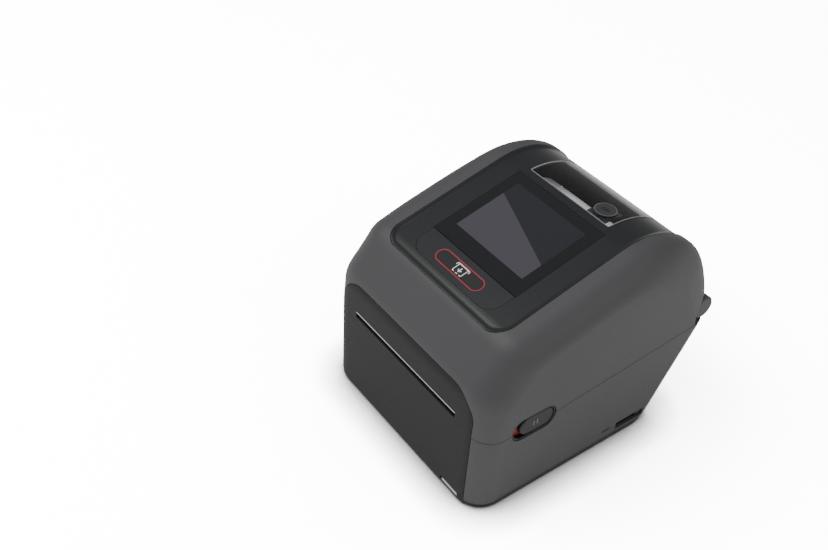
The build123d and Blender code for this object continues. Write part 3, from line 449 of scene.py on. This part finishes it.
ICON_X, ICON_UP = 0.8, -24.9
icon_lines = [
    ((-6.6, 3.6), (6.6, 3.6), 0.75), ((-6.3, 3.9), (-6.3, 1.6), 0.7), ((6.3, 3.9), (6.3, 1.6), 0.7),
    ((-4.6, 3.6), (-4.6, -3.5), 0.55), ((4.6, 3.6), (4.6, -3.5), 0.55),
    ((-4.6, -3.7), (-2.6, -3.7), 0.65), ((-1.0, -3.7), (1.0, -3.7), 0.65), ((2.6, -3.7), (4.6, -3.7), 0.65),
    ((0, 1.8), (0, -1.7), 0.75), ((-1.7, -0.2), (0.1, -2.0), 0.75), ((1.7, -0.2), (-0.1, -2.0), 0.75),
]
icon_bars = [
    ((ICON_X + a[0], ICON_UP + a[1]), (ICON_X + b[0], ICON_UP + b[1]), width) for a, b, width in icon_lines
]
feed_icon = flat_bars("feed_icon", DISPLAY, icon_bars, 0.19, 0.24)
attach(feed_icon, "feed")
feed_icon["finish"] = "icon_white"

badge_tilt = -math.asin((40.3 - 35.98) / 71.0)
badge_height = (97.22 + (71.0 - 1.2) * math.cos(badge_tilt)) / 1000
BADGE = Matrix.Translation((0.0255, 0.0403, badge_height)) @ Matrix.Rotation(badge_tilt, 4, "X")
badge_lines = [((-3.2 + 2.2 * i, -1.9), (-1.6 + 2.2 * i, 1.9), 0.8) for i in range(3)]
badge_mark = flat_bars("badge_mark", BADGE, badge_lines, 0.02, 0.08)
badge_mark["finish"] = "badge_dark"
round_turn = np.linspace(0, 2 * math.pi, 49)
rim_ends = np.stack([7.9 * np.cos(round_turn), 7.9 * np.sin(round_turn)], 1)
badge_rim = flat_bars("badge_rim", BADGE, list(zip(rim_ends[:-1], rim_ends[1:], [0.5] * 48)), 0.0, 0.1)
badge_rim["finish"] = "pale_mark"
for piece in (badge_mark, badge_rim):
    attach(piece, "cover")

# ---------------------------------------------------------------- marks on the latches and the badge
for side, body in ((1, "latch_right"), (-1, "latch_left")):
    bars = []
    for start in (-65.6, -62.4):
        low, high = sorted((side * 88.85, side * 89.0))
        end = start + 0.9
        outline = [(start, 68.4), (end, 68.4), (end, 72.6), (start, 72.6)]
        bars.append(prism("latch_mark", outline, low, high, 0))
    for bar in bars:
        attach(bar, body)
        bar["finish"] = "pale_mark"

# ---------------------------------------------------------------- finishes


def linear(colour):
    """sRGB hex colour as linear red, green, blue and 1."""
    parts = [int(colour[i:i + 2], 16) / 255 for i in (1, 3, 5)]
    return [c / 12.92 if c <= 0.04045 else ((c + 0.055) / 1.055) ** 2.4 for c in parts] + [1.0]


def shader(name):
    """A new material: its node tree, its surface shader and its Object coordinates."""
    material = bpy.data.materials.new(name)
    material.use_nodes = True
    tree = material.node_tree
    surface = tree.nodes["Principled BSDF"]
    place = tree.nodes.new("ShaderNodeTexCoord").outputs["Object"]
    return material, tree, surface, place


def node(tree, kind, sockets, **settings):
    """Adds one node; each socket value is a constant or another node's output."""
    made = tree.nodes.new(kind)
    for setting, value in settings.items():
        setattr(made, setting, value)
    for socket, value in sockets.items():
        if isinstance(value, bpy.types.NodeSocket):
            tree.links.new(value, made.inputs[socket])
        else:
            made.inputs[socket].default_value = value
    return made


def spread(tree, value, low, high):
    """A 0 to 1 value moved to between low and high."""
    sockets = {"Value": value, "From Min": 0.3, "From Max": 0.7, "To Min": low, "To Max": high}
    return node(tree, "ShaderNodeMapRange", sockets).outputs["Result"]


def tinted(tree, colour, factor, low, high):
    """A colour multiplied by a value between low and high that follows factor."""
    scale = spread(tree, factor, low, high)
    return node(tree, "ShaderNodeVectorMath", {0: colour[:3], 1: node(
        tree, "ShaderNodeCombineXYZ", {"X": scale, "Y": scale, "Z": scale}
    ).outputs["Vector"]}, operation="MULTIPLY").outputs["Vector"]


def moulded(name, colour, rough, grain=0.0006, depth=0.00004, edge=0.0004, gloss=0.5):
    """Moulded plastic: a fine spark grain, slow tone changes and slightly rounded edges."""
    material, tree, surface, place = shader(name)
    fine = node(
        tree, "ShaderNodeTexNoise", {"Vector": place, "Scale": 1 / grain, "Detail": 3.0}
    ).outputs["Fac"]
    broad = node(tree, "ShaderNodeTexNoise", {"Vector": place, "Scale": 14.0, "Detail": 2.0}).outputs["Fac"]
    tree.links.new(tinted(tree, linear(colour), broad, 0.97, 1.03), surface.inputs["Base Color"])
    tree.links.new(spread(tree, fine, rough - 0.03, rough + 0.05), surface.inputs["Roughness"])
    surface.inputs["Specular IOR Level"].default_value = gloss
    rounded = node(tree, "ShaderNodeBevel", {"Radius": edge}, samples=4).outputs["Normal"]
    bump = node(
        tree, "ShaderNodeBump", {"Height": fine, "Distance": depth, "Strength": 0.6, "Normal": rounded}
    )
    tree.links.new(bump.outputs["Normal"], surface.inputs["Normal"])
    return material


def metal(name, colour, rough, stretch=(1, 1, 1)):
    """Metal with drawn or ground streaks that run along the least stretched axis."""
    material, tree, surface, place = shader(name)
    scale = tuple(900.0 * s for s in stretch)
    streak = node(tree, "ShaderNodeVectorMath", {0: place, 1: scale}, operation="MULTIPLY")
    noise = node(
        tree, "ShaderNodeTexNoise", {"Vector": streak.outputs["Vector"], "Scale": 1.0, "Detail": 2.0}
    ).outputs["Fac"]
    tree.links.new(tinted(tree, linear(colour), noise, 0.9, 1.06), surface.inputs["Base Color"])
    tree.links.new(spread(tree, noise, rough - 0.06, rough + 0.08), surface.inputs["Roughness"])
    surface.inputs["Metallic"].default_value = 1.0
    bump = node(tree, "ShaderNodeBump", {"Height": noise, "Distance": 0.00001, "Strength": 0.3})
    tree.links.new(bump.outputs["Normal"], surface.inputs["Normal"])
    return material


def touch_glass_finish():
    """Black glass over a dark screen, with a pale wedge of reflection painted into its colour across the
    screen's front.
    """
    material, tree, surface, place = shader("display_glass")
    local = node(tree, "ShaderNodeMapping", {
        "Vector": place, "Rotation": (-SLOPE, 0.0, 0.0), "Location": (0.0, 0.0, 0.0)
    }).outputs["Vector"]
    middle_up = -0.0423 * math.cos(SLOPE) + 0.1486 * math.sin(SLOPE)
    parts = node(tree, "ShaderNodeSeparateXYZ", {"Vector": local})
    up = node(
        tree, "ShaderNodeMath", {0: parts.outputs["Y"], 1: middle_up}, operation="SUBTRACT"
    ).outputs["Value"]
    x = parts.outputs["X"]

    def inside(value, centre, half):
        far = node(tree, "ShaderNodeMath", {0: value, 1: centre}, operation="SUBTRACT").outputs["Value"]
        far = node(tree, "ShaderNodeMath", {0: far}, operation="ABSOLUTE").outputs["Value"]
        return node(tree, "ShaderNodeMath", {0: far, 1: half}, operation="LESS_THAN").outputs["Value"]

    screen = node(tree, "ShaderNodeMath", {
        0: inside(x, 0.0, 0.0355), 1: inside(up, 0.0284, 0.0284)
    }, operation="MULTIPLY").outputs["Value"]
    # painted reflection: a pale wedge of the room's reflection, painted into the screen's base colour above a
    # slanted line
    slant = node(tree, "ShaderNodeMath", {0: x, 1: 0.366}, operation="MULTIPLY").outputs["Value"]
    height = node(tree, "ShaderNodeMath", {0: up, 1: slant}, operation="ADD").outputs["Value"]
    painted_reflection_wedge = node(tree, "ShaderNodeMapRange", {
        "Value": height, "From Min": 0.0299, "From Max": 0.0303, "To Min": 1.0, "To Max": 0.0
    }).outputs["Result"]
    lit = node(
        tree, "ShaderNodeMix", {6: linear("#23242A"), 7: linear("#414046"), 0: painted_reflection_wedge}, data_type="RGBA"
    )
    both = node(tree, "ShaderNodeMix", {6: linear("#18191B"), 7: lit.outputs[2], 0: screen}, data_type="RGBA")
    tree.links.new(both.outputs[2], surface.inputs["Base Color"])
    smear = node(tree, "ShaderNodeTexNoise", {"Vector": place, "Scale": 22.0, "Detail": 3.0}).outputs["Fac"]
    tree.links.new(spread(tree, smear, 0.13, 0.17), surface.inputs["Roughness"])
    return material


def window_finish():
    """Clear acrylic, faintly tinted: each face passes about 93 percent, and the outer face is glossy."""
    material, tree, surface, place = shader("window_glass")
    haze = node(tree, "ShaderNodeTexNoise", {"Vector": place, "Scale": 40.0, "Detail": 2.0}).outputs["Fac"]
    smoke = tinted(tree, (0.93, 0.935, 0.95), haze, 0.97, 1.0)
    clear = node(tree, "ShaderNodeBsdfTransparent", {"Color": smoke})
    shine = node(tree, "ShaderNodeBsdfGlossy", {"Color": (1, 1, 1, 1), "Roughness": 0.05})
    # light goes straight through without bending, so only the outer face reflects: from inside, at these
    # angles, an unbent ray would be sent back whole
    edge = node(tree, "ShaderNodeFresnel", {"IOR": 1.45}).outputs["Fac"]
    inner = node(tree, "ShaderNodeNewGeometry", {}).outputs["Backfacing"]
    outer = node(tree, "ShaderNodeMath", {0: 1.0, 1: inner}, operation="SUBTRACT").outputs["Value"]
    share = node(tree, "ShaderNodeMath", {0: edge, 1: outer}, operation="MULTIPLY").outputs["Value"]
    mixed = node(tree, "ShaderNodeMixShader", {0: share, 1: clear.outputs["BSDF"], 2: shine.outputs["BSDF"]})
    output = tree.nodes["Material Output"]
    tree.links.new(mixed.outputs["Shader"], output.inputs["Surface"])
    return material


def paper(name, colour, ring=0.00025):
    """Coated paper with the fine rings of its layers on the roll's ends, about the roll's axis."""
    material, tree, surface, place = shader(name)
    parts = node(tree, "ShaderNodeSeparateXYZ", {"Vector": place})
    axis_y, axis_z = 0.038, 0.0957
    y = node(tree, "ShaderNodeMath", {0: parts.outputs["Y"], 1: axis_y}, operation="SUBTRACT")
    z = node(tree, "ShaderNodeMath", {0: parts.outputs["Z"], 1: axis_z}, operation="SUBTRACT")
    flat = node(
        tree, "ShaderNodeCombineXYZ", {"X": y.outputs["Value"], "Y": z.outputs["Value"], "Z": 0.0}
    ).outputs["Vector"]
    radius = node(tree, "ShaderNodeVectorMath", {0: flat}, operation="LENGTH").outputs["Value"]
    turns = node(tree, "ShaderNodeMath", {0: radius, 1: 6.283 / ring}, operation="MULTIPLY").outputs["Value"]
    wave = node(tree, "ShaderNodeMath", {0: turns}, operation="SINE").outputs["Value"]
    layers = node(tree, "ShaderNodeMapRange", {"Value": wave, "From Min": -1.0, "To Min": 0.3, "To Max": 0.7})
    rings = tinted(tree, linear(colour), layers.outputs["Result"], 0.94, 1.0)
    tree.links.new(rings, surface.inputs["Base Color"])
    surface.inputs["Roughness"].default_value = 0.62
    return material


def board_finish():
    """Solder mask with a faint pattern of tracks."""
    material, tree, surface, place = shader("circuit_board")
    tracks = node(tree, "ShaderNodeTexBrick", {
        "Vector": place, "Scale": 260.0, "Color1": linear("#1C5634"), "Color2": linear("#1A4E30"),
        "Mortar": linear("#2E7A4A"), "Mortar Size": 0.03
    })
    tree.links.new(tracks.outputs["Color"], surface.inputs["Base Color"])
    surface.inputs["Roughness"].default_value = 0.3
    return material


FINISHES = {
    "body_shell": moulded("body_shell", "#404042", 0.55, edge=0.0006),
    "satin_panel": moulded("satin_panel", "#1C1D1F", 0.34, grain=0.0004, depth=0.00001),
    "dark_bezel": moulded("dark_bezel", "#101112", 0.6, gloss=0.35),
    "black_plastic": moulded("black_plastic", "#131415", 0.55),
    "inner_plastic": moulded("inner_plastic", "#1E2023", 0.5),
    "guide_plastic": moulded("guide_plastic", "#2A2C30", 0.45),
    "latch_plastic": moulded("latch_plastic", "#131416", 0.5),
    "foot_rubber": moulded("foot_rubber", "#161718", 0.8, depth=0.00008, gloss=0.3),
    "platen_rubber": moulded("platen_rubber", "#1C1D1F", 0.65, grain=0.0003, gloss=0.3),
    "zinc_screw": metal("zinc_screw", "#A8ABAE", 0.3),
    "bright_steel": metal("bright_steel", "#C9CBCD", 0.25, (0.03, 1, 1)),
    "spring_steel": metal("spring_steel", "#9A9C9E", 0.3),
    "head_aluminium": metal("head_aluminium", "#B9BBBD", 0.35, (0.03, 1, 1)),
    "motor_case": moulded("motor_case", "#1C1D1F", 0.4),
    "brass_pinion": metal("brass_pinion", "#C0984E", 0.28),
    "bearing_nylon": moulded("bearing_nylon", "#D8D4C8", 0.45),
    "gear_nylon": moulded("gear_nylon", "#E2DFD4", 0.42),
    "circuit_board": board_finish(),
    "component_black": moulded("component_black", "#18191B", 0.5),
    "port_metal": metal("port_metal", "#C4C6C8", 0.22, (1, 0.05, 1)),
    "display_glass": touch_glass_finish(),
    "lcd_screen": moulded("lcd_screen", "#222327", 0.3, depth=0.000005),
    "window_glass": window_finish(),
    "gloss_bar": moulded("gloss_bar", "#222325", 0.32, grain=0.0004, depth=0.000008, edge=0.0002),
    "red_ring": moulded("red_ring", "#7E2C36", 0.35, depth=0.000008, edge=0.0002),
    "red_button": moulded("red_button", "#1F1F20", 0.32, depth=0.000008, edge=0.0002),
    "red_accent": moulded("red_accent", "#9A2A22", 0.4, depth=0.00001),
    "button_black": moulded("button_black", "#0C0D0E", 0.45),
    "label_paper": paper("label_paper", "#F4F3F0"),
    "core_card": paper("core_card", "#A98A62", 0.0006),
    "clear_edge": moulded("clear_edge", "#8E9093", 0.2, grain=0.0005, depth=0.000005, edge=0.0001),
    "icon_white": moulded("icon_white", "#E8E8E8", 0.5, depth=0.000005, edge=0.0001),
    "badge_grey": moulded("badge_grey", "#303133", 0.4, depth=0.000005, edge=0.0001),
    "badge_dark": moulded("badge_dark", "#111213", 0.4, depth=0.000005, edge=0.0001),
    "pale_mark": moulded("pale_mark", "#6A6B6D", 0.5, depth=0.000005, edge=0.0001),
}
slot_of = {row["node"]: row["material_slot"] for row in frame["record"]["subparts"]}
for name, piece in nodes.items():
    piece.data.materials.clear()
    piece.data.materials.append(FINISHES[slot_of[name]])
for piece in list(bpy.data.objects):
    if piece.type == "MESH" and ("finish" in piece or "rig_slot" in piece):
        piece.data.materials.clear()
        piece.data.materials.append(FINISHES[piece.get("finish", piece.get("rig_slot"))])
nodes["window_badge"].data.materials[0] = FINISHES["badge_grey"]
nodes["hinge_pins"].data.materials[0] = FINISHES["body_shell"]

# ---------------------------------------------------------------- studio
floor_corners = [(-6000, -6000, -0.2), (6000, -6000, -0.2), (6000, 6000, -0.2), (-6000, 6000, -0.2)]
floor = mesh_object("floor", floor_corners, [[0, 1, 2, 3]], smooth=False)
material, tree, surface, place = shader("pale_floor")
mottle = node(tree, "ShaderNodeTexNoise", {"Vector": place, "Scale": 3.0}).outputs["Fac"]
tree.links.new(tinted(tree, linear("#FBFBFB"), mottle, 0.995, 1.0), surface.inputs["Base Color"])
surface.inputs["Roughness"].default_value = 0.9
surface.inputs["Specular IOR Level"].default_value = 0.1
seen = node(tree, "ShaderNodeLightPath", {})
# the floor is shown brighter than it lights, with a painted soft shadow, darkened by ambient occlusion, where
# the printer stands close over it
brightening = 12.0
open_sky = node(tree, "ShaderNodeAmbientOcclusion", {"Distance": 0.03}, samples=8).outputs["AO"]
painted_contact_shadow = node(tree, "ShaderNodeMath", {0: open_sky, 1: 4.0}, operation="POWER").outputs["Value"]
level = node(tree, "ShaderNodeMath", {0: painted_contact_shadow, 1: brightening}, operation="MULTIPLY").outputs["Value"]
shown = node(tree, "ShaderNodeCombineXYZ", {"X": level, "Y": level, "Z": level}).outputs["Vector"]
bright = node(tree, "ShaderNodeBsdfDiffuse", {"Color": shown, "Roughness": 0.0})
lifted = node(tree, "ShaderNodeMixShader", {
    0: seen.outputs["Is Camera Ray"], 1: surface.outputs["BSDF"], 2: bright.outputs["BSDF"]
})
tree.links.new(lifted.outputs["Shader"], tree.nodes["Material Output"].inputs["Surface"])
floor.data.materials.append(material)

world = bpy.data.worlds.new("studio")
world.use_nodes = True
tree = world.node_tree
rays = node(tree, "ShaderNodeLightPath", {})
# the room looks dimmer in reflections than it lights, so that dark gloss stays dark
dimmed = node(
    tree, "ShaderNodeMapRange", {"Value": rays.outputs["Is Glossy Ray"], "To Min": 0.76, "To Max": 0.3}
)
tree.nodes["Background"].inputs["Color"].default_value = (1.0, 1.0, 1.0, 1.0)
tree.links.new(dimmed.outputs["Result"], tree.nodes["Background"].inputs["Strength"])
bpy.context.scene.world = world


def softbox(name, place, target, size, power):
    """A square area light aimed at a point; place and target in metres."""
    light = bpy.data.lights.new(name, "AREA")
    light.shape = "SQUARE"
    light.size = size
    light.energy = power
    made = bpy.data.objects.new(name, light)
    made.location = place
    made.rotation_euler = (Vector(target) - Vector(place)).to_track_quat("-Z", "Y").to_euler()
    bpy.context.scene.collection.objects.link(made)


softbox("key", (-0.5, -0.7, 1.5), (0, 0, 0.08), 1.1, 17)
softbox("side", (1.5, 0.5, 1.1), (0, 0, 0.08), 0.9, 4)

# ---------------------------------------------------------------- camera
azimuth, elevation, roll = (math.radians(a) for a in (51.71, 40.14, 3.76))
level_part = math.cos(elevation)
back = Vector((math.sin(azimuth) * level_part, -math.cos(azimuth) * level_part, math.sin(elevation)))
right = (-back).cross(Vector((0, 0, 1))).normalized()
above = right.cross(-back)
right_rolled = right * math.cos(roll) + above * math.sin(roll)
above_rolled = above * math.cos(roll) - right * math.sin(roll)
lens = bpy.data.cameras.new("camera")
lens.lens = 45.12
lens.sensor_width = 36.0
lens.clip_start = 0.01
camera = bpy.data.objects.new("camera", lens)
camera.matrix_world = Matrix((
    (right_rolled.x, above_rolled.x, back.x, 0.405207),
    (right_rolled.y, above_rolled.y, back.y, -0.425256),
    (right_rolled.z, above_rolled.z, back.z, 0.590631),
    (0, 0, 0, 1),
))
bpy.context.scene.collection.objects.link(camera)
bpy.context.scene.camera = camera
